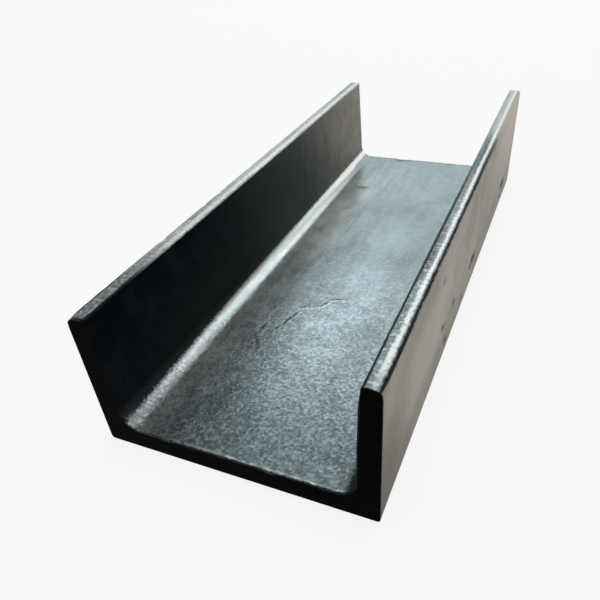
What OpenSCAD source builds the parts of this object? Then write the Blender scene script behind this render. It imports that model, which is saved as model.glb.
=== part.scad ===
// Short cut piece of hot-rolled steel channel, lying on its web with the flanges up.
// X is across the section, Y along the piece and Z up from the back of the web.
// The origin is the middle of the web's back face.

/* [Section] */
// Depth of the section, across the backs of the flanges
section_w = 75; // [50:1:150]
// Width of each flange, from the back of the web to the toe
flange_w = 40; // [30:1:75]
// Thickness of the web
web_t = 6; // [3:0.1:10]
// Thickness of a flange at half its width
flange_t = 5.2; // [4:0.1:9]
// Slope of the flange's inner face, in percent
flange_taper = 3.5; // [0:0.5:10]

/* [Radii] */
// Fillet between the web and the inner face of a flange
root_r = 5; // [2:0.5:10]
// Rounding of the toe on the outside of a flange
toe_outer_r = 1.2; // [0.5:0.1:2]
// Rounding of the toe on the inside of a flange
toe_inner_r = 0.6; // [0.1:0.1:0.8]
// Rounding of the heel, where the web's back meets a flange
heel_r = 0.8; // [0.2:0.1:2]

/* [Piece] */
// Length of the cut piece
piece_length = 190; // [50:5:6000]

/* [Hidden] */
$fn = 96;

half_w = section_w / 2;
slope = flange_taper / 100;
// Length of a step of 1 up the sloping inner face
slope_len = sqrt(1 + slope * slope);
// The right flange's inner face is the line x = inner_x0 + slope * z
inner_x0 = half_w - flange_t - slope * flange_w / 2;
// Rise of that face's unit normal, which points into the trough
normal_rise = slope / slope_len;
// Depth by which the arcs beside that face cross it, so that rounding leaves no sliver
arc_overlap = 0.0005;

function inner_x(z) = inner_x0 + slope * z;
function on_inner_face(z) = [inner_x(z), z];

// Arc centres on the right half of the section
heel_centre = [half_w - heel_r, heel_r];
toe_outer_centre = [half_w - toe_outer_r, flange_w - toe_outer_r];
toe_inner_centre = [
    inner_x(flange_w - toe_inner_r) + toe_inner_r * slope_len - arc_overlap,
    flange_w - toe_inner_r
];
root_centre = [
    inner_x(web_t + root_r) - root_r * slope_len + arc_overlap,
    web_t + root_r
];

// Right half of the outline from the web's back to the web's inside, with a chord across every arc
right_half = [
    [heel_centre.x, 0],
    [half_w, heel_centre.y],
    [half_w, toe_outer_centre.y],
    [toe_outer_centre.x, flange_w],
    [toe_inner_centre.x, flange_w],
    on_inner_face(toe_inner_centre.y + toe_inner_r * normal_rise),
    on_inner_face(root_centre.y - root_r * normal_rise),
    [root_centre.x, web_t]
];
last = len(right_half) - 1;
left_half = [for (i = [last:-1:0]) [-right_half[i].x, right_half[i].y]];

module both_sides() {
    children();
    mirror([1, 0]) children();
}

module arc_disc(centre, r) {
    translate(centre) circle(r);
}

module section() {
    difference() {
        union() {
            polygon(concat(right_half, left_half));
            both_sides() {
                arc_disc(heel_centre, heel_r);
                arc_disc(toe_outer_centre, toe_outer_r);
                arc_disc(toe_inner_centre, toe_inner_r);
            }
        }
        both_sides() arc_disc(root_centre, root_r);
    }
}

module channel() {
    color("dimgray")
        translate([0, piece_length / 2, 0])
            rotate([90, 0, 0])
                linear_extrude(height = piece_length)
                    section();
}

channel();
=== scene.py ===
"""Looks of a cut piece of hot-rolled channel: its fine mesh, its steel, the light and the camera."""

import math

import bpy
import numpy as np
from mathutils import Matrix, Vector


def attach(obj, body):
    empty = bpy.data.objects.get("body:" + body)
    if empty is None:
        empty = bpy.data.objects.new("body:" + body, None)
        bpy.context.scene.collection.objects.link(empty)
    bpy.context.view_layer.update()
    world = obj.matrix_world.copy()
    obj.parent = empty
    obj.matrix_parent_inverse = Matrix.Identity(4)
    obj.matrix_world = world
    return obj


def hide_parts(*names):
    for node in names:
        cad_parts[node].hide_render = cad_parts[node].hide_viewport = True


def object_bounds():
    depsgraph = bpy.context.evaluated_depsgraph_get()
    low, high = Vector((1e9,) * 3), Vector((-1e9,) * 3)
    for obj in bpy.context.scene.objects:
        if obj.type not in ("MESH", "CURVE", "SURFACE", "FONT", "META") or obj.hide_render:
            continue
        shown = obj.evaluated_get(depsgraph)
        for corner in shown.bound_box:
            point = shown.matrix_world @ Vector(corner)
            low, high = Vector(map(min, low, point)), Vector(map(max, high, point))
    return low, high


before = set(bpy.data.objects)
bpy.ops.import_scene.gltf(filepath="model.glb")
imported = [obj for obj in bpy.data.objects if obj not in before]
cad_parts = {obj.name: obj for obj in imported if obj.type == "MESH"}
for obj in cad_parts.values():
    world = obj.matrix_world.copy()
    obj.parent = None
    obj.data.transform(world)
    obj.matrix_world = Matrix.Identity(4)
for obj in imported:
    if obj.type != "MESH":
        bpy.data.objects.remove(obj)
cad_low, cad_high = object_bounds()

MM = 0.001

# The section's sizes, in millimetres: the overall ones from the frame, the rest as in the part's source.
SECTION_W, LENGTH, FLANGE_W = [round((top - bottom) / MM, 2) for bottom, top in zip(cad_low, cad_high)]
WEB_T, FLANGE_T, SLOPE = 6.0, 5.2, 0.035
ROOT_R, TOE_OUT_R, TOE_IN_R, HEEL_R = 5.0, 1.2, 0.6, 0.8
HALF_W, HALF_L = SECTION_W / 2, LENGTH / 2
SLOPE_LEN = math.hypot(1.0, SLOPE)
INNER_X0 = HALF_W - FLANGE_T - SLOPE * FLANGE_W / 2
QUARTER = math.pi / 2


def inner_x(z):
    """X of the right flange's inner face at height z."""
    return INNER_X0 + SLOPE * z


# Gradient noise on a seeded lattice, for the relief of the mesh.
SEED, LATTICE, NOISE_GAIN = 4071, 256, 1.6
RNG = np.random.default_rng(SEED)
PERM = np.tile(RNG.permutation(LATTICE), 3)
GRADS = RNG.normal(size=(LATTICE, 3))
GRADS /= np.linalg.norm(GRADS, axis=1)[:, None]


def noise(places, size, offset=0.0):
    """Gradient noise from about -1 to 1, with lumps about `size` millimetres across."""
    p = np.asarray(places, float) / size + offset
    cell = np.floor(p).astype(int)
    f = p - cell
    fade = f * f * f * (f * (f * 6 - 15) + 10)
    total = np.zeros(len(p))
    for corner in range(8):
        step = np.array([corner & 1, corner >> 1 & 1, corner >> 2 & 1])
        c = (cell + step) % LATTICE
        grad = GRADS[PERM[PERM[PERM[c[:, 0]] + c[:, 1]] + c[:, 2]]]
        weight = np.prod(np.where(step, fade, 1 - fade), axis=1)
        total += weight * np.einsum("ij,ij->i", grad, f - step)
    return total * NOISE_GAIN


def smooth(low, high, value):
    """A smooth step from 0 at `low` to 1 at `high`."""
    t = np.clip((value - low) / (high - low), 0, 1)
    return t * t * (3 - 2 * t)


def bell(distance, width):
    """1 in the middle, about a third at `width` and next to nothing past twice that."""
    return np.exp(-((distance / width) ** 2))


# The section as a closed loop of samples, anticlockwise with X to the right and Z up.
WEB_CELL, FLANK_CELL, BACK_CELL, UNDER_CELL, TOE_CELL = 0.62, 1.25, 1.1, 2.4, 0.5
ROOT_STEPS, TOE_OUT_STEPS, TOE_IN_STEPS, HEEL_STEPS = 18, 7, 4, 3
loop_xz, loop_n, loop_zone = [], [], []


def add_line(start, end, normal, zone, cell):
    """Samples on a straight stretch, with its start and without its end."""
    start, end = np.array(start), np.array(end)
    count = max(1, round(np.linalg.norm(end - start) / cell))
    for i in range(count):
        loop_xz.append(start + (end - start) * i / count)
        loop_n.append(np.array(normal) / np.linalg.norm(normal))
        loop_zone.append(zone)


def add_arc(centre, radius, first, last, count, zone, hollow=False):
    """Samples on an arc, with its start and without its end."""
    for i in range(count):
        angle = first + (last - first) * i / count
        ray = np.array([math.cos(angle), math.sin(angle)])
        loop_xz.append(np.array(centre) + radius * ray)
        loop_n.append(-ray if hollow else ray)
        loop_zone.append(zone)


def flip(p):
    """A point or direction of the right half, on the left half."""
    return (-p[0], p[1])


tilt = math.atan(SLOPE)
heel = (HALF_W - HEEL_R, HEEL_R)
toe_out = (HALF_W - TOE_OUT_R, FLANGE_W - TOE_OUT_R)
toe_in = (inner_x(FLANGE_W - TOE_IN_R) + TOE_IN_R * SLOPE_LEN, FLANGE_W - TOE_IN_R)
root = (inner_x(WEB_T + ROOT_R) - ROOT_R * SLOPE_LEN, WEB_T + ROOT_R)
face_n = np.array([-1.0, SLOPE]) / SLOPE_LEN
toe_in_end = np.array(toe_in) + TOE_IN_R * face_n
root_start = np.array(root) - ROOT_R * face_n

add_line(flip((heel[0], 0)), (heel[0], 0), (0, -1), "under", UNDER_CELL)
add_arc(heel, HEEL_R, -QUARTER, 0, HEEL_STEPS, "heel")
add_line((HALF_W, heel[1]), (HALF_W, toe_out[1]), (1, 0), "back", BACK_CELL)
add_arc(toe_out, TOE_OUT_R, 0, QUARTER, TOE_OUT_STEPS, "toe_out")
add_line((toe_out[0], FLANGE_W), (toe_in[0], FLANGE_W), (0, 1), "toe", TOE_CELL)
add_arc(toe_in, TOE_IN_R, QUARTER, math.pi - tilt, TOE_IN_STEPS, "toe_in")
add_line(toe_in_end, root_start, face_n, "flank", FLANK_CELL)
add_arc(root, ROOT_R, -tilt, -QUARTER, ROOT_STEPS, "root", hollow=True)
add_line((root[0], WEB_T), flip((root[0], WEB_T)), (0, 1), "web", WEB_CELL)
add_arc(flip(root), ROOT_R, -QUARTER, -math.pi + tilt, ROOT_STEPS, "root", hollow=True)
add_line(flip(root_start), flip(toe_in_end), flip(face_n), "flank", FLANK_CELL)
add_arc(flip(toe_in), TOE_IN_R, tilt, QUARTER, TOE_IN_STEPS, "toe_in")
add_line(flip((toe_in[0], FLANGE_W)), flip((toe_out[0], FLANGE_W)), (0, 1), "toe", TOE_CELL)
add_arc(flip(toe_out), TOE_OUT_R, QUARTER, math.pi, TOE_OUT_STEPS, "toe_out")
add_line(flip((HALF_W, toe_out[1])), flip((HALF_W, heel[1])), (-1, 0), "back", BACK_CELL)
add_arc(flip(heel), HEEL_R, math.pi, math.pi + QUARTER, HEEL_STEPS, "heel")

loop_xz, loop_n, loop_zone = np.array(loop_xz), np.array(loop_n), np.array(loop_zone)
LOOP = len(loop_xz)

# Rows along the length: close together at the cut ends, where the edges are broken.
END_STEPS = [0.0, 0.05, 0.12, 0.22, 0.36, 0.6, 0.95, 1.45]
FIRST_ROW, ROW_CELL = 2.1, 0.72
plain_rows = round((LENGTH - 2 * FIRST_ROW) / ROW_CELL)
row_y = np.concatenate([
    [step - HALF_L for step in END_STEPS],
    np.linspace(FIRST_ROW - HALF_L, HALF_L - FIRST_ROW, plain_rows),
    [HALF_L - step for step in reversed(END_STEPS)],
])
ROWS = len(row_y)

# Place, direction out of the steel and zone of every point.
x = np.tile(loop_xz[:, 0], ROWS)
z = np.tile(loop_xz[:, 1], ROWS)
nx = np.tile(loop_n[:, 0], ROWS)
nz = np.tile(loop_n[:, 1], ROWS)
zone = np.tile(loop_zone, ROWS)
y = np.repeat(row_y, LOOP)
points = np.stack([x, y, z], 1)
to_end = HALF_L - np.abs(y)


def on(*names):
    """True at the points of these zones."""
    return np.isin(zone, names)


def layers(*rows):
    """Noises at the points, added up. Each has a height, a size of lump and an offset of its own."""
    return sum(height * noise(points, size, offset) for height, size, offset in rows)


trough = on("web", "root")
toe_zones = on("toe_out", "toe", "toe_in")
outer = on("under", "heel", "back") | toe_zones

# Relief, in millimetres out of the steel. Outer faces only go inwards, so that the piece keeps its box.
PEEL_LOST, PEEL_FROM, PEEL_TO, PEEL_ELSEWHERE = 0.65, -40.0, 50.0, 0.25
waves = layers((0.03, 14.0, 0.0), (0.018, 5.0, 7.3))
peel = layers((0.014, 2.6, 3.1), (0.016, 1.5, 11.7)) * (1 - PEEL_LOST * smooth(PEEL_FROM, PEEL_TO, y))
relief = waves + np.where(trough, peel, PEEL_ELSEWHERE * peel)
relief = np.where(outer, -np.abs(relief), relief)

# Laps in the rolled web: thin creases with a low lip on one side. Places in X, Y.
LAPS = [
    [(2.2, -23.7), (0.3, -24.1), (-1.4, -25.3)],
    [(-1.5, -26.5), (-3.3, -29.4), (-6.2, -30.7), (-9.2, -31.8)],
    [(-9.3, -35.7), (-10.2, -38.2), (-10.9, -41.2), (-11.8, -44.2)],
    [(-16.3, -44.6), (-16.5, -46.3), (-16.5, -47.6)],
    [(-15.1, -51.5), (-14.1, -53.7)],
]
LAP_WANDER, LAP_WAVE, LAP_DEPTH, LAP_W = 0.35, 4.0, 0.05, 0.5
LIP_AT, LIP_HEIGHT, LIP_W = -1.0, 0.05, 0.8
FAR_OFF = 9.0


def path_distance(paths, px, py):
    """Distance to the nearest path, and the side of it: -1 on the left of the path's direction."""
    best, side = np.full(len(px), FAR_OFF), np.ones(len(px))
    for path in paths:
        for (ax, ay), (bx, by) in zip(path, path[1:]):
            dx, dy = bx - ax, by - ay
            t = np.clip(((px - ax) * dx + (py - ay) * dy) / (dx * dx + dy * dy), 0, 1)
            distance = np.hypot(px - ax - t * dx, py - ay - t * dy)
            near = distance < best
            best = np.where(near, distance, best)
            side = np.where(near, np.sign((px - ax) * dy - (py - ay) * dx), side)
    return best, side


lap_x = x + LAP_WANDER * noise(points, LAP_WAVE, 21.0)
lap_y = y + LAP_WANDER * noise(points, LAP_WAVE, 33.0)
lap_distance, lap_side = path_distance(LAPS, lap_x, lap_y)
lap_mm = np.where(trough, lap_distance * lap_side, FAR_OFF)
relief -= np.where(trough, LAP_DEPTH * bell(lap_mm, LAP_W), 0)
relief += np.where(trough & (lap_mm < 0), LIP_HEIGHT * bell(lap_mm - LIP_AT, LIP_W), 0)

# Pits in the upright faces, longer along the piece and slanting a little down to the far end.
PIT_LONG, PIT_SLANT, DARK_DEPTH = 2.1, 0.25, 0.3
PITS = [  # zone, side, Y, Z, half height and depth
    ("back", 1, 74.0, 8.2, 2.7, 0.42),
    ("back", 1, 66.5, 5.4, 1.5, 0.24),
    ("back", 1, 9.4, 9.0, 2.1, 0.4),
    ("back", 1, 4.4, 8.6, 1.3, 0.27),
    ("back", 1, -41.1, 30.8, 1.5, 0.17),
    ("back", 1, -22.5, 11.9, 1.4, 0.26),
    ("back", 1, -37.4, 13.0, 1.25, 0.28),
    ("back", 1, -31.9, 4.8, 1.4, 0.28),
    ("back", 1, -8.6, 4.6, 1.1, 0.22),
    ("flank", -1, -77.0, 18.1, 0.7, 0.15),
]
uneven = 1 + layers((0.3, 3.4, 40.0), (0.15, 2.2, 47.0))
pit = np.zeros(len(points))
for where, pit_side, pit_y, pit_z, half_height, depth in PITS:
    slanted = z - pit_z + PIT_SLANT * (y - pit_y)
    distance = np.hypot((y - pit_y) / PIT_LONG, slanted) * uneven
    dent = np.where(on(where) & (np.sign(x) == pit_side), bell(distance, half_height), 0)
    relief -= depth * dent
    pit = np.maximum(pit, dent * min(1.0, depth / DARK_DEPTH))

# Shallow smears on the web.
SMEARS = [  # X, Y, half length across, half length along and depth
    (-19.6, 60.0, 2.8, 1.7, 0.06),
    (-11.9, 93.6, 2.2, 1.3, 0.1),
]
smear = np.zeros(len(points))
for smear_x, smear_y, half_across, half_along, depth in SMEARS:
    distance = np.hypot((x - smear_x) / half_across, (y - smear_y) / half_along) * uneven
    dent = np.where(on("web"), bell(distance, 1.0), 0)
    relief -= depth * dent
    smear = np.maximum(smear, dent)

# Knocks along the toes, each mostly on the inner or the outer corner.
KNOCKS, KNOCK_WIDTHS, KNOCK_DEPTHS, KNOCK_ELSEWHERE = 46, (0.5, 1.6), (0.04, 0.2), 0.35
for _ in range(KNOCKS):
    knock_y = RNG.uniform(-HALF_L, HALF_L)
    knock_side = RNG.choice([-1, 1])
    width, depth = RNG.uniform(*KNOCK_WIDTHS), RNG.uniform(*KNOCK_DEPTHS)
    corner = "toe_in" if RNG.random() < 0.5 else "toe_out"
    share = np.where(on(corner), 1.0, KNOCK_ELSEWHERE)
    here = toe_zones & (np.sign(x) == knock_side)
    relief -= np.where(here, share * depth * bell(y - knock_y, width), 0)

# The outer corners of the toes are worn rounder at the near end.
WORN_DEPTH, WORN_R, WORN_REACH = 0.42, 1.3, 2.6
from_corner = np.hypot(HALF_W - np.abs(x), FLANGE_W - z)
worn_away = WORN_DEPTH * bell(from_corner, WORN_R) * bell(y + HALF_L, WORN_REACH)
relief -= np.where(on("back", "toe_out", "toe"), worn_away, 0)

# Burrs at the two cuts: a low one round the trough, and a taller one on the right flange at the near end.
BURR, BURR_MOST, BURR_REACH, BURR_GAP = 0.04, 0.25, 0.55, 0.04
TALL_BURR, RISE_FROM_Z, RISE_TO_Z, FALL_FROM_Z, FALL_TO_Z = 0.35, 12.0, 24.0, 35.0, 39.5
burr = np.where(trough, np.clip(BURR + layers((0.16, 1.1, 71.0)), 0, BURR_MOST), 0)
tall_burr = TALL_BURR * smooth(RISE_FROM_Z, RISE_TO_Z, z) * smooth(FALL_TO_Z, FALL_FROM_Z, z)
burr += np.where(on("flank") & (x > 0) & (y < 0), tall_burr, 0)
relief += burr * bell(to_end, BURR_REACH) * (to_end > BURR_GAP)

# The edges of the cuts are broken to an uneven radius, with a few chips along the web.
TROUGH_EDGE_R, EDGE_R, EDGE_R_LEAST, EDGE_R_MOST = 0.2, 0.06, 0.05, 1.2
CHIPS = [  # end, X, half width and depth
    (-1, 10.2, 1.6, 0.55),
    (-1, -18.4, 1.2, 0.4),
    (-1, 24.0, 1.0, 0.35),
    (-1, -3.0, 0.8, 0.3),
    (1, -12.0, 1.6, 0.5),
    (1, 15.0, 1.1, 0.35),
]
edge_r = np.where(trough, TROUGH_EDGE_R, EDGE_R) * (1 + layers((0.45, 1.7, 55.0), (0.25, 0.7, 63.0)))
for end, chip_x, width, depth in CHIPS:
    here = on("web") & (np.sign(y) == end)
    edge_r += np.where(here, depth * bell(x - chip_x, width), 0)
edge_r = np.clip(edge_r, EDGE_R_LEAST, EDGE_R_MOST)
in_edge = np.clip(edge_r - to_end, 0, None)
relief -= edge_r - np.sqrt(np.clip(edge_r**2 - in_edge**2, 0, None))

# The near cut runs a little out of square on the right flange: it leans back by CUT_LEAN at the toe.
CUT_LEAN, LEAN_REACH = 0.6, 25.0
lean_share = z / FLANGE_W * smooth(LEAN_REACH - HALF_L, -HALF_L, y) * smooth(0, HALF_W, x)
verts = np.stack([
    np.clip(x + nx * relief, -HALF_W, HALF_W),
    y + CUT_LEAN * lean_share,
    np.clip(z + nz * relief, 0, FLANGE_W),
], 1)

# Faces: the swept skin, then one face over each cut end.
i, j = np.meshgrid(np.arange(LOOP), np.arange(ROWS - 1))
a, b = i + j * LOOP, (i + 1) % LOOP + j * LOOP
skin = np.stack([a, a + LOOP, b + LOOP, b], -1).reshape(-1, 4)
near_cap = list(range(LOOP))
far_cap = [k + (ROWS - 1) * LOOP for k in reversed(range(LOOP))]
caps = [near_cap, far_cap]

# Masks for the steel at each point. Lean is an angle from level, and toe_mm counts from the inner lip.
fillet_angle = np.where(on("root"), np.arctan2(np.abs(nx), nz), 0.0)
across_toe = np.abs(x) - inner_x(FLANGE_W)
beside_toe = np.where(on("flank", "root", "web"), -FAR_OFF, FAR_OFF)
masks = {
    "lean": np.where(on("flank", "toe_in", "toe"), QUARTER, fillet_angle),
    "back": np.where(on("back", "heel", "under", "toe_out"), 1.0, 0.0),
    "toe_mm": np.where(toe_zones, across_toe, beside_toe),
    "pit": pit,
    "smear": smear,
    "lap_mm": lap_mm,
    "to_end_mm": to_end,
}

piece_name = "rolled_channel"
mesh = bpy.data.meshes.new(piece_name)
mesh.from_pydata((verts * MM).tolist(), [], [*map(tuple, skin.tolist()), *caps])
for name, values in masks.items():
    mesh.attributes.new(name, "FLOAT", "POINT").data.foreach_set("value", values.astype(np.float32))
mesh.polygons.foreach_set("use_smooth", [True] * len(skin) + [False] * len(caps))
mesh.polygons.foreach_set("material_index", [0] * len(skin) + [1] * len(caps))
mesh.update()

piece = bpy.data.objects.new(piece_name, mesh)
bpy.context.scene.collection.objects.link(piece)


# Shader nodes.
def linear(r, g, b):
    """A colour given as it should look, 0 to 255, as the shader takes it."""
    out = []
    for v in (r, g, b):
        v /= 255
        out.append(v / 12.92 if v <= 0.04045 else ((v + 0.055) / 1.055) ** 2.4)
    return (*out, 1.0)


class Nodes:
    """Short names for the shader nodes used below."""

    # A mix node has several sockets of each name. These are the ones for colours.
    MIX_COLOURS, MIX_RESULT = (6, 7), 2

    def __init__(self, name):
        self.material = bpy.data.materials.new(name)
        self.material.use_nodes = True
        self.tree = self.material.node_tree
        self.tree.nodes.clear()

    def new(self, kind, **settings):
        node = self.tree.nodes.new(kind)
        for key, value in settings.items():
            setattr(node, key, value)
        return node

    def put(self, socket, value):
        if isinstance(value, bpy.types.NodeSocket):
            self.tree.links.new(value, socket)
        else:
            socket.default_value = value

    def mask(self, name):
        return self.new("ShaderNodeAttribute", attribute_name=name).outputs["Fac"]

    def math(self, operation, first, second=0.0):
        node = self.new("ShaderNodeMath", operation=operation)
        self.put(node.inputs[0], first)
        self.put(node.inputs[1], second)
        return node.outputs[0]

    def product(self, first, *others):
        for other in others:
            first = self.math("MULTIPLY", first, other)
        return first

    def total(self, first, *others):
        for other in others:
            first = self.math("ADD", first, other)
        return first

    def less(self, first, second):
        return self.math("SUBTRACT", first, second)

    def most(self, first, second):
        return self.math("MAXIMUM", first, second)

    def between(self, value, low, high, to_low=0.0, to_high=1.0):
        """A smooth step from `to_low`, where `value` is `low`, to `to_high`, where it is `high`."""
        node = self.new("ShaderNodeMapRange", interpolation_type="SMOOTHSTEP")
        for socket, v in zip(node.inputs, (value, low, high, to_low, to_high)):
            self.put(socket, v)
        return node.outputs[0]

    def band(self, value, rise_from, rise_to, fall_from, fall_to):
        """1 between `rise_to` and `fall_from`, and 0 outside `rise_from` and `fall_to`."""
        rise = self.between(value, rise_from, rise_to)
        return self.product(rise, self.between(value, fall_from, fall_to, 1.0, 0.0))

    def mix(self, amount, *colours):
        """Two colours mixed, each a node's or one given as it should look."""
        node = self.new("ShaderNodeMix", data_type="RGBA")
        self.put(node.inputs["Factor"], amount)
        for index, colour in zip(self.MIX_COLOURS, colours):
            self.put(node.inputs[index], linear(*colour) if isinstance(colour, tuple) else colour)
        return node.outputs[self.MIX_RESULT]

    def paint(self, colour, *coats):
        """A colour under coats of others, from the lowest up. Each coat is its amount and its colour."""
        for amount, coat in coats:
            colour = self.mix(amount, colour, coat)
        return colour

    def texture(self, kind, place, size_mm, stretch, settings, **sockets):
        mapping = self.new("ShaderNodeMapping")
        self.put(mapping.inputs["Vector"], place)
        mapping.inputs["Scale"].default_value = [1 / (size_mm * MM * s) for s in stretch]
        node = self.new(kind, **settings)
        self.put(node.inputs["Vector"], mapping.outputs[0])
        for name, value in sockets.items():
            node.inputs[name].default_value = value
        return node

    def noise(self, place, size_mm, stretch=(1, 1, 1), detail=3.0, rough=0.55):
        node = self.texture(
            "ShaderNodeTexNoise", place, size_mm, stretch, {}, Scale=1.0, Detail=detail, Roughness=rough)
        return node.outputs["Fac"]

    def specks(self, place, size_mm):
        """Soft specks of random tone, from 0 to 1."""
        settings = {"feature": "SMOOTH_F1"}
        node = self.texture(
            "ShaderNodeTexVoronoi", place, size_mm, (1, 1, 1), settings, Scale=1.0, Smoothness=0.55)
        return node.outputs["Color"]

    def bump(self, height, depth_mm):
        node = self.new("ShaderNodeBump")
        node.inputs["Distance"].default_value = depth_mm * MM
        self.put(node.inputs["Height"], height)
        return node.outputs[0]

    def finish(self, specular, **sockets):
        """The material, with one Principled shader on these sockets."""
        shader = self.new("ShaderNodeBsdfPrincipled")
        for name, value in sockets.items():
            self.put(shader.inputs[name.replace("_", " ").title()], value)
        shader.inputs["Specular IOR Level"].default_value = specular
        out = self.new("ShaderNodeOutputMaterial")
        self.put(out.inputs["Surface"], shader.outputs[0])
        return self.material


class Steel(Nodes):
    """Nodes of the rolled steel, with the places, in millimetres, and the noises that its coats share."""

    def __init__(self, name):
        super().__init__(name)
        self.place = self.new("ShaderNodeTexCoord").outputs["Object"]
        xyz = self.new("ShaderNodeSeparateXYZ")
        self.put(xyz.inputs[0], self.place)
        self.across, self.along, self.up = [self.product(metres, 1 / MM) for metres in xyz.outputs]
        self.right = self.between(self.across, -1, 1)
        self.left = self.less(1.0, self.right)
        self.lean = self.mask("lean")
        self.back = self.mask("back")
        self.to_end = self.mask("to_end_mm")
        self.add_noises()
        self.add_toe_places()

    def add_noises(self):
        """Noises from the widest to the finest, then those drawn out along or down the faces."""
        self.blotch = self.noise(self.place, 22.0, detail=4.0)
        self.cloud = self.noise(self.place, 7.0, detail=4.0)
        self.mottle = self.noise(self.place, 3.2, detail=2.0)
        self.grain = self.noise(self.place, 1.0, rough=0.6)
        self.ragged = self.less(self.grain, 0.5)
        specks = self.specks(self.place, 0.68)
        self.sand = self.total(self.product(specks, 0.6), self.product(self.grain, 0.4))
        self.grain_left = self.between(self.along, -80, 40, 1.0, 0.12)
        self.streak = self.noise(self.place, 2.6, stretch=(1.0, 9.0, 1.0), detail=4.0)
        self.drips = self.noise(self.place, 3.0, stretch=(1.0, 1.0, 6.0))

    def add_toe_places(self):
        """Places across the toe from its inner lip: as they are, frayed, and less frayed for its edges."""
        self.toe_mm = self.mask("toe_mm")
        drift = self.less(self.streak, 0.5)
        flecks = self.less(self.noise(self.place, 0.9, stretch=(1.0, 2.5, 1.0), rough=0.6), 0.5)
        frayed = self.product(flecks, self.between(self.along, -60, 0, 1.2, 0.7))
        self.toe_frayed = self.total(self.toe_mm, drift, frayed)
        self.toe_edge = self.total(self.toe_mm, self.product(drift, 0.4), self.product(frayed, 0.5))


# Web.
WEB_GREY, WEB_PALE, WEB_CLOUD = (134, 151, 155), (150, 170, 175), (132, 138, 137)
# Painted shade for the web's near end and painted light for its far end.
WEB_NEAR_SHADE, WEB_FAR_LIGHT = (96, 106, 108), (174, 195, 200)
# Painted light beside the web's left root, and a painted highlight near the root at the near end.
WEB_ROOT_LIGHT, WEB_ROOT_LIGHT_FAR, WEB_ROOT_HIGHLIGHT_NEAR = (212, 224, 223), (242, 249, 248), (224, 234, 232)
# The first two are painted shade; the mottle and streak tones are the steel's own.
WEB_FAR_ROOT_SHADE, WEB_DULL_SHADE, WEB_MOTTLE, WEB_STREAK = (104, 115, 115), (98, 110, 113), (84, 94, 96), (70, 79, 81)
DARK_SAND, LIGHT_SAND, SMEAR = (62, 70, 72), (226, 236, 237), (72, 85, 91)


def web_root_light(n):
    """Coats on the left side of the web: painted light beside the root, and a painted highlight near the
    root at the near end.
    """
    beside_root_light = n.product(n.between(n.across, -27, -8, 0.95, 0.0), n.band(n.along, -110, -60, 60, 90))
    lightened = n.mix(n.between(n.along, -20, 30), WEB_ROOT_LIGHT, WEB_ROOT_LIGHT_FAR)
    # Painted highlight: the root's highlight carried onto the web towards the near end.
    near_root_highlight = n.product(
        n.between(n.across, -27.5, -21, 0.75, 0.0),
        n.between(n.along, -70, -30, 1.0, 0.0),
        n.between(n.lean, 0.1, 0.3, 1.0, 0.0))
    return [(beside_root_light, lightened), (near_root_highlight, WEB_ROOT_HIGHLIGHT_NEAR)]


def web_shades(n):
    """Coats of painted shade beside the root at the far end, on the web's right side and in its middle;
    then darker mottles, and the streaks that rolling drew along it.
    """
    # Painted shade beside the root at the far end, on the right side and in the middle of the web.
    far_root_shade = n.product(n.between(n.across, -26, -12, 0.38, 0.0), n.band(n.along, 60, 70, 76, 95))
    right_side_shade = n.product(n.between(n.across, 5, 16, 0.0, 0.45), n.band(n.along, -80, -50, 0, 40))
    middle_shade = n.product(n.band(n.across, -16, -10, -3, 3), n.band(n.along, -35, -20, 0, 30), 0.3)
    mottled = n.between(n.mottle, 0.35, 0.65, 0.12, 0.0)
    drawn = n.product(n.between(n.streak, 0.4, 0.55, 0.2, 0.0), n.between(n.across, -6, 2, 1.0, 0.3))
    return [
        (far_root_shade, WEB_FAR_ROOT_SHADE),
        (n.most(right_side_shade, middle_shade), WEB_DULL_SHADE),
        (mottled, WEB_MOTTLE),
        (drawn, WEB_STREAK),
    ]


def web_sand(n):
    """Coats of specks. On the left side the dark ones are weaker and the light ones stronger."""
    dark_share = n.product(n.grain_left, n.between(n.across, -20, 0, 0.8, 1.0))
    light_share = n.product(n.grain_left, n.between(n.across, -20, 0, 2.0, 1.0))
    dark = n.product(n.between(n.sand, 0.32, 0.5, 0.46, 0.0), dark_share)
    light = n.product(n.between(n.sand, 0.5, 0.7, 0.0, 0.22), light_share)
    return [(dark, DARK_SAND), (light, LIGHT_SAND)]


def web_colour(n):
    """Silver grey, a little blue-green and sandy, with painted shade at the near end and painted light at
    the far end.
    """
    clouds = n.between(n.cloud, 0.55, 0.8, 0.0, 0.35)
    # Painted shade at the near end and painted light at the far end.
    near_end_shade = n.between(n.along, -95, -50, 0.4, 0.0)
    far_end_light = n.between(n.along, 25, 70, 0.0, 0.5)
    smeared = n.product(n.mask("smear"), 0.85)
    return n.paint(
        n.mix(n.between(n.blotch, 0.35, 0.65), WEB_GREY, WEB_PALE),
        (clouds, WEB_CLOUD),
        (near_end_shade, WEB_NEAR_SHADE),
        *web_root_light(n),
        (far_end_light, WEB_FAR_LIGHT),
        *web_shades(n),
        *web_sand(n),
        (smeared, SMEAR))


# Laps in the web.
# Painted shade for the crease and a painted highlight for the lip.
LAP_CREASE_SHADE, LAP_LIP_HIGHLIGHT = (46, 55, 58), (226, 236, 237)


def lap_marks(n):
    """Coats of the laps: painted shade in a broken dark crease, with a painted highlight on the lip beside
    it.
    """
    lap = n.mask("lap_mm")
    crease_shade = n.product(n.band(lap, -0.55, -0.18, 0.18, 0.55), n.between(n.mottle, 0.4, 0.56, 0.1, 0.85))
    lip_highlight = n.product(n.band(lap, -1.5, -0.8, -0.6, -0.3), n.between(n.grain, 0.4, 0.6, 0.0, 0.55))
    return [(crease_shade, LAP_CREASE_SHADE), (lip_highlight, LAP_LIP_HIGHLIGHT)]


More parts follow.
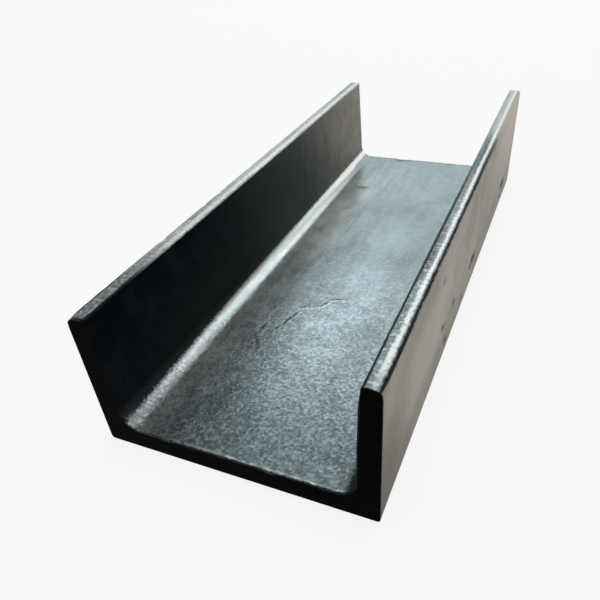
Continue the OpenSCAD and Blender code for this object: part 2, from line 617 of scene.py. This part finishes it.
# Left root fillet.
# Painted highlight colours of the left root fillet.
ROOT_HIGHLIGHT_GREY, ROOT_HIGHLIGHT_WHITE = (160, 172, 171), (242, 249, 247)


def root_stripe(n):
    """Coat of the left root fillet: a painted highlight, grey and near white above, added to the lamps' own
    highlight there, fading out towards the near end.
    """
    highlight_from = n.between(n.along, 55, 85, 0.1, 0.5)
    # Painted highlight along the left fillet.
    lightened = n.product(
        n.between(n.less(n.lean, highlight_from), 0.0, 0.32),
        n.left,
        n.between(n.along, 30, 70, 0.7, 1.0),
        n.between(n.along, -95, -30, 0.05, 1.0))
    white_from = n.between(n.along, 30, 80, 0.62, 0.42)
    white_to = n.between(n.along, 30, 80, 1.0, 0.7)
    return (lightened, n.mix(n.between(n.lean, white_from, white_to), ROOT_HIGHLIGHT_GREY, ROOT_HIGHLIGHT_WHITE))


# Flanks, the inner faces of the flanges.
# Scale colours; the last is a painted reflection.
SCALE_BLACK, SCALE_BLUE, FLANK_DIM_REFLECTION = (8, 12, 18), (22, 28, 31), (64, 74, 74)
# The first two are a painted reflection.
FLANK_REFLECTION, FLANK_REFLECTION_PALE, FLANK_FOOT = (156, 150, 139), (178, 171, 161), (84, 96, 96)


def scale_on_flank(n):
    """Where the flank's scale is. It starts part of the way up the root fillet, with a frayed edge."""
    scale_from = n.total(n.between(n.along, -95, -15, 0.9, 1.1), n.product(n.right, -0.45))
    fray = n.product(n.ragged, n.between(n.along, -85, -30, 0.8, 0.22))
    return n.between(n.less(n.total(n.lean, fray), scale_from), -0.12, 0.12)


def flank_colour(n):
    """Blue-black scale under a painted reflection, which turns it dark green grey and then brown grey
    towards the far end.
    """
    # Painted reflection: lighter towards the far end and higher up, and reaching 50 mm nearer the near end
    # on the right flank.
    reflection_reach = n.total(n.along, n.product(n.less(n.up, 20), 0.5), n.product(n.right, 50))
    far_reflection = n.between(n.total(reflection_reach, n.product(n.drips, 20)), 30, 105)
    reflection_tone = n.mix(n.between(n.cloud, 0.35, 0.65), FLANK_REFLECTION, FLANK_REFLECTION_PALE)
    foot = n.between(n.up, 8.5, 12.5, 0.25, 0.0)
    return n.paint(
        n.mix(n.between(n.cloud, 0.4, 0.7), SCALE_BLACK, SCALE_BLUE),
        (n.between(reflection_reach, -35, 35), FLANK_DIM_REFLECTION),
        (far_reflection, reflection_tone),
        (foot, FLANK_FOOT))


# Backs of the flanges and of the web.
BACK_GREY, BACK_PALE, BACK_CLOUD = (164, 156, 144), (186, 179, 168), (174, 172, 161)
# The far, low and near tones below are painted light and shade.
BACK_MOTTLE, BACK_FAR_LIGHT, BACK_LOW_SHADE = (138, 130, 120), (220, 211, 199), (142, 136, 128)
BACK_NEAR_SHADE, BACK_PALE_PATCH = (112, 101, 90), (206, 201, 189)
PIT_STAIN, PIT_CORE = (92, 80, 70), (38, 32, 28)


def back_colour(n):
    """Warm grey, with painted shade low down and at the near lower corner, painted light towards the far
    end higher up, a paler patch in the near half, and stained pits.
    """
    # Painted light at the far end higher up, and painted shade at the near foot.
    far_top_light = n.product(n.between(n.along, 10, 90), n.between(n.up, 8, 36, 0.1, 0.8))
    near_foot_shade = n.product(n.between(n.along, -95, -60, 0.9, 0.0), n.between(n.up, 8, 38, 1.0, 0.2))
    lightened = n.product(n.band(n.along, -85, -68, -45, -25), n.band(n.up, 6, 16, 28, 36), 0.5)
    pits = n.mask("pit")
    return n.paint(
        n.mix(n.between(n.blotch, 0.35, 0.68), BACK_GREY, BACK_PALE),
        (n.between(n.cloud, 0.5, 0.8, 0.0, 0.5), BACK_CLOUD),
        (n.between(n.mottle, 0.35, 0.65, 0.2, 0.0), BACK_MOTTLE),
        (far_top_light, BACK_FAR_LIGHT),
        # Painted shade low down.
        (n.between(n.up, 4, 18, 0.5, 0.0), BACK_LOW_SHADE),
        (near_foot_shade, BACK_NEAR_SHADE),
        (lightened, BACK_PALE_PATCH),
        (n.between(pits, 0.03, 0.8, 0.0, 0.8), PIT_STAIN),
        (n.between(pits, 0.45, 0.9, 0.0, 0.92), PIT_CORE))


# Toes.
TOE_LEFT_NEAR, TOE_LEFT_FAR = (134, 141, 141), (176, 184, 183)
TOE_RIGHT_NEAR, TOE_RIGHT_FAR = (128, 142, 145), (180, 187, 185)
TOE_STREAK, TOE_DULL = (84, 96, 98), (82, 95, 98)
# Painted highlight colours of the toes.
TOE_HIGHLIGHT_LEFT, TOE_HIGHLIGHT_RIGHT = (208, 216, 215), (218, 226, 225)
TOE_DARK_SPECK, TOE_LIGHT_SPECK = (64, 74, 76), (222, 226, 224)
# Painted light for the far outer edge, and painted shade for the outer line and the lip.
TOE_FAR_EDGE_LIGHT, TOE_EDGE_SHADE, TOE_LIP_SHADE = (214, 210, 204), (10, 13, 13), (36, 47, 50)


def toe_streaks_and_highlights(n):
    """Coats of the toes' streaks and dull places, and of the painted highlights along them."""
    streaks = n.between(n.streak, 0.4, 0.62, 0.4, 0.0)
    groove = n.product(n.band(n.along, -5, 12, 34, 46), n.band(n.toe_frayed, 1.0, 1.4, 1.9, 2.3))
    patch = n.product(n.band(n.along, -60, -48, -34, -22), n.between(n.toe_frayed, 1.5, 2.1, 0.7, 0.0))
    dull = n.product(n.most(groove, patch), n.right, 0.8)
    # Painted highlights along the toes.
    highlight_left = n.product(n.left, n.band(n.toe_frayed, 0.0, 0.65, 1.3, 2.3), n.between(n.along, -75, -55))
    widened = n.total(n.toe_frayed, n.between(n.along, -60, -45, 0.3, 0.0))
    highlight_right = n.product(
        n.right,
        n.between(widened, 2.1, 2.8),
        n.between(n.toe_frayed, 3.1, 3.6, 1.0, 0.0),
        n.between(n.along, -94, -84, 0.35, 1.0))
    return [
        (streaks, TOE_STREAK),
        (dull, TOE_DULL),
        (highlight_left, TOE_HIGHLIGHT_LEFT),
        (highlight_right, TOE_HIGHLIGHT_RIGHT),
    ]


def toe_specks(n):
    """Coats of dark and light specks, weaker towards the far end."""
    share = n.between(n.along, -80, 60, 1.0, 0.45)
    dark = n.product(n.between(n.grain, 0.32, 0.46, 0.55, 0.0), share)
    light = n.product(n.between(n.grain, 0.52, 0.64, 0.0, 0.5), share)
    return [(dark, TOE_DARK_SPECK), (light, TOE_LIGHT_SPECK)]


def toe_edges(n):
    """Coats along the toes' edges: painted light at the far right, a painted dark line of shade round the
    outer edge and painted shade on the inner lip.
    """
    far_edge_light = n.product(n.right, n.between(n.toe_edge, 3.1, 3.5), n.between(n.along, 25, 60))
    line_to = n.between(n.along, -82, -65, 4.3, 4.1)
    line_right = n.product(
        n.right,
        n.band(n.toe_edge, 3.55, 3.75, line_to, n.total(line_to, 0.2)),
        n.between(n.along, 10, 50, 0.92, 0.2))
    line_left = n.product(
        n.left, n.band(n.toe_edge, 3.15, 3.4, 4.0, 4.25), n.between(n.along, -85, -62, 1.0, 0.0))
    lip_left = n.product(
        n.left, n.between(n.toe_edge, 0.4, 0.65, 1.0, 0.0), n.between(n.along, -78, -60, 1.0, 0.0))
    widened = n.less(n.toe_edge, n.between(n.along, -60, -30, 0.0, 0.25))
    lip_right = n.product(
        n.right, n.between(widened, 0.55, 0.95, 1.0, 0.0), n.between(n.along, -20, 50, 1.0, 0.0))
    return [
        (far_edge_light, TOE_FAR_EDGE_LIGHT),
        (n.total(line_right, line_left), TOE_EDGE_SHADE),
        (n.total(lip_left, lip_right), TOE_LIP_SHADE),
    ]


def toe_colour(n):
    """Grey, with painted highlights, painted shade on the lip inside and a broken painted dark line round
    the outer edge.
    """
    left_grey = n.mix(n.between(n.along, -85, -50), TOE_LEFT_NEAR, TOE_LEFT_FAR)
    right_grey = n.mix(n.between(n.along, 35, 55), TOE_RIGHT_NEAR, TOE_RIGHT_FAR)
    return n.paint(n.mix(n.right, left_grey, right_grey), *toe_streaks_and_highlights(n), *toe_specks(n), *toe_edges(n))


# Edges of the cuts.
# The bright tone is a painted highlight.
EDGE_DARK, EDGE_HIGHLIGHT, EDGE_FAR = (20, 16, 15), (198, 204, 201), (70, 76, 74)


def cut_edges(n, in_toe, in_trough):
    """Coats along the cuts: dark and then a painted highlight on the web at the near end, dull at the far
    end.
    """
    on_web = n.product(n.between(n.lean, 0.3, 1.0, 1.0, 0.0), in_trough)
    at_near_end = n.between(n.along, -10, 0, 1.0, 0.0)
    at_far_end = n.between(n.along, 0, 10)
    ragged_mm = n.less(n.total(n.to_end, n.product(n.ragged, 0.8)), n.product(in_toe, n.left, 0.7))
    darkened_edge = n.product(n.between(ragged_mm, 0.15, 0.5, 0.9, 0.0), at_near_end)
    broken = n.between(n.mottle, 0.4, 0.58, 0.1, 0.75)
    # Painted highlight along the near edge of the web.
    edge_highlight = n.product(n.band(ragged_mm, 0.4, 0.6, 0.85, 1.15), broken, at_near_end, on_web)
    dull = n.product(n.between(n.to_end, 0.3, 1.2, 0.6, 0.0), at_far_end, on_web)
    return [(darkened_edge, EDGE_DARK), (edge_highlight, EDGE_HIGHLIGHT), (dull, EDGE_FAR)]


def rolled_steel():
    """The rolled skin: bright metal in the trough and on the toes, matt scale on the flanks and backs."""
    n = Steel("rolled_steel_scale")
    on_flank = scale_on_flank(n)
    in_toe = n.band(n.toe_mm, -0.5, -0.1, 4.3, 4.45)
    matt = n.most(on_flank, n.back)
    in_trough = n.less(1.0, matt)
    colour = n.paint(
        web_colour(n),
        (n.back, back_colour(n)),
        root_stripe(n),
        (on_flank, flank_colour(n)),
        (in_toe, toe_colour(n)),
        *lap_marks(n),
        *cut_edges(n, in_toe, in_trough))

    bright_toe = n.product(n.band(n.toe_mm, -0.3, 0.0, 3.0, 3.4), 0.9)
    metal = n.most(n.between(matt, 0.0, 1.0, 0.9, 0.05), bright_toe)
    rough = n.total(n.between(n.cloud, 0.3, 0.7, 0.27, 0.35), n.product(matt, 0.17))
    sandy = n.product(n.total(n.product(in_trough, 0.8), 0.2), n.grain_left)
    bump = n.bump(n.product(n.grain, sandy), 0.1)
    return n.finish(0.04, base_color=colour, metallic=metal, roughness=rough, normal=bump)


# Cut ends.
# Painted shade: the cut faces are coloured near black.
CUT_SHADE_BLACK, CUT_SHADE_BROWN = (2, 1, 1), (12, 8, 8)


def saw_cut():
    """The cut, coloured near black as painted shade, with faint saw marks across it."""
    n = Nodes("saw_cut_shade")
    place = n.new("ShaderNodeTexCoord").outputs["Object"]
    marks = n.noise(place, 0.9, stretch=(14.0, 1.0, 1.0))
    cloud = n.noise(place, 6.0)
    tone = n.total(n.product(marks, 0.5), n.product(cloud, 0.5))
    colour = n.mix(n.between(tone, 0.35, 0.68), CUT_SHADE_BLACK, CUT_SHADE_BROWN)
    return n.finish(0.01, base_color=colour, metallic=0.0, roughness=0.6, normal=n.bump(marks, 0.06))


mesh.materials.append(rolled_steel())
mesh.materials.append(saw_cut())
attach(piece, "root")
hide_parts("channel")

# Floor with a low round backdrop, in metres.
FLOOR_R, BACKDROP_H, SIDES, FLOOR_DROP = 4.0, 2.0, 96, 0.02 * MM
PAPER_WHITE, PAPER_SHOWN = 0.93, 0.85
ring = []
for k in range(SIDES):
    turn = math.tau * k / SIDES
    ring.append((FLOOR_R * math.cos(turn), FLOOR_R * math.sin(turn)))
stage_verts = [(px, py, height) for height in (0.0, BACKDROP_H) for px, py in ring]
stage_faces = [tuple(range(SIDES))]
for k in range(SIDES):
    following = (k + 1) % SIDES
    stage_faces.append((following, k, k + SIDES, following + SIDES))
floor_mesh = bpy.data.meshes.new("floor")
floor_mesh.from_pydata(stage_verts, [], stage_faces)
floor = bpy.data.objects.new("floor", floor_mesh)
floor.location.z = -FLOOR_DROP
bpy.context.scene.collection.objects.link(floor)


def white_paper(shown):
    """Matt white paper. To the camera and in reflections, `shown` of it is plain white."""
    n = Nodes("floor_paper")
    path = n.new("ShaderNodeLightPath").outputs
    seen = n.most(path["Is Camera Ray"], path["Is Glossy Ray"])
    seen = n.most(seen, path["Is Transmission Ray"])
    matt = n.new("ShaderNodeBsdfDiffuse")
    matt.inputs["Color"].default_value = (PAPER_WHITE, PAPER_WHITE, PAPER_WHITE, 1)
    white = n.new("ShaderNodeEmission")
    mixed = n.new("ShaderNodeMixShader")
    n.put(mixed.inputs[0], n.product(seen, shown))
    n.put(mixed.inputs[1], matt.outputs[0])
    n.put(mixed.inputs[2], white.outputs[0])
    out = n.new("ShaderNodeOutputMaterial")
    n.put(out.inputs["Surface"], mixed.outputs[0])
    return n.material


floor_mesh.materials.append(white_paper(PAPER_SHOWN))

# Light: a dim white world and two softboxes, one behind the far end and one overhead.
WORLD_LIGHT = 0.36
world = bpy.data.worlds.new("studio")
bpy.context.scene.world = world
world.use_nodes = True
sky = world.node_tree.nodes["Background"]
sky.inputs["Color"].default_value = (1, 1, 1, 1)
sky.inputs["Strength"].default_value = WORLD_LIGHT


def softbox(name, azimuth, elevation, distance, width, height, radiance):
    """A lamp that looks at the piece. Azimuth 0 is straight behind the far end, and grows to +X."""
    lamp = bpy.data.lights.new(name, "AREA")
    lamp.shape, lamp.size, lamp.size_y = "RECTANGLE", width, height
    lamp.energy = math.pi * width * height * radiance
    ob = bpy.data.objects.new(name, lamp)
    az, el = math.radians(azimuth), math.radians(elevation)
    level = distance * math.cos(el)
    ob.location = (level * math.sin(az), level * math.cos(az), distance * math.sin(el))
    ob.rotation_euler = (-ob.location).to_track_quat("-Z", "Y").to_euler()
    bpy.context.scene.collection.objects.link(ob)


softbox("back_softbox", azimuth=5.0, elevation=41.0, distance=1.2, width=1.6, height=0.3, radiance=2.7)
softbox("top_softbox", azimuth=0.0, elevation=89.0, distance=1.6, width=0.9, height=0.9, radiance=2.2)

# Camera, fitted to the straight edges in the photo.
CAMERA_AT = (59.584 * MM, -168.861 * MM, 115.198 * MM)
AZIMUTH, ELEVATION, ROLL = map(math.radians, (-25.989, 37.788, -4.711))
FOCAL_PX, CENTRE_PX, IMAGE_PX = 581.87, (308.5, 330.4), 600.0
SENSOR, CLIP_START = 36.0, 0.01

camera_data = bpy.data.cameras.new("camera")
camera_data.sensor_fit = "HORIZONTAL"
camera_data.sensor_width = SENSOR
camera_data.lens = SENSOR * FOCAL_PX / IMAGE_PX
camera_data.shift_x = (IMAGE_PX / 2 - CENTRE_PX[0]) / IMAGE_PX
camera_data.shift_y = (CENTRE_PX[1] - IMAGE_PX / 2) / IMAGE_PX
camera_data.clip_start = CLIP_START
camera = bpy.data.objects.new("camera", camera_data)
level_right = np.array([math.cos(AZIMUTH), -math.sin(AZIMUTH), 0.0])
level_forward = np.array([math.sin(AZIMUTH), math.cos(AZIMUTH), 0.0])
forward = math.cos(ELEVATION) * level_forward - math.sin(ELEVATION) * np.array([0.0, 0.0, 1.0])
level_up = np.cross(level_right, forward)
right = math.cos(ROLL) * level_right + math.sin(ROLL) * level_up
up = math.cos(ROLL) * level_up - math.sin(ROLL) * level_right
axes = np.stack([right, up, -forward], 1)
camera.matrix_world = Matrix.Translation(CAMERA_AT) @ Matrix(axes.tolist()).to_4x4()
bpy.context.scene.collection.objects.link(camera)
bpy.context.scene.camera = camera
bpy.context.scene.view_settings.view_transform = "Standard"
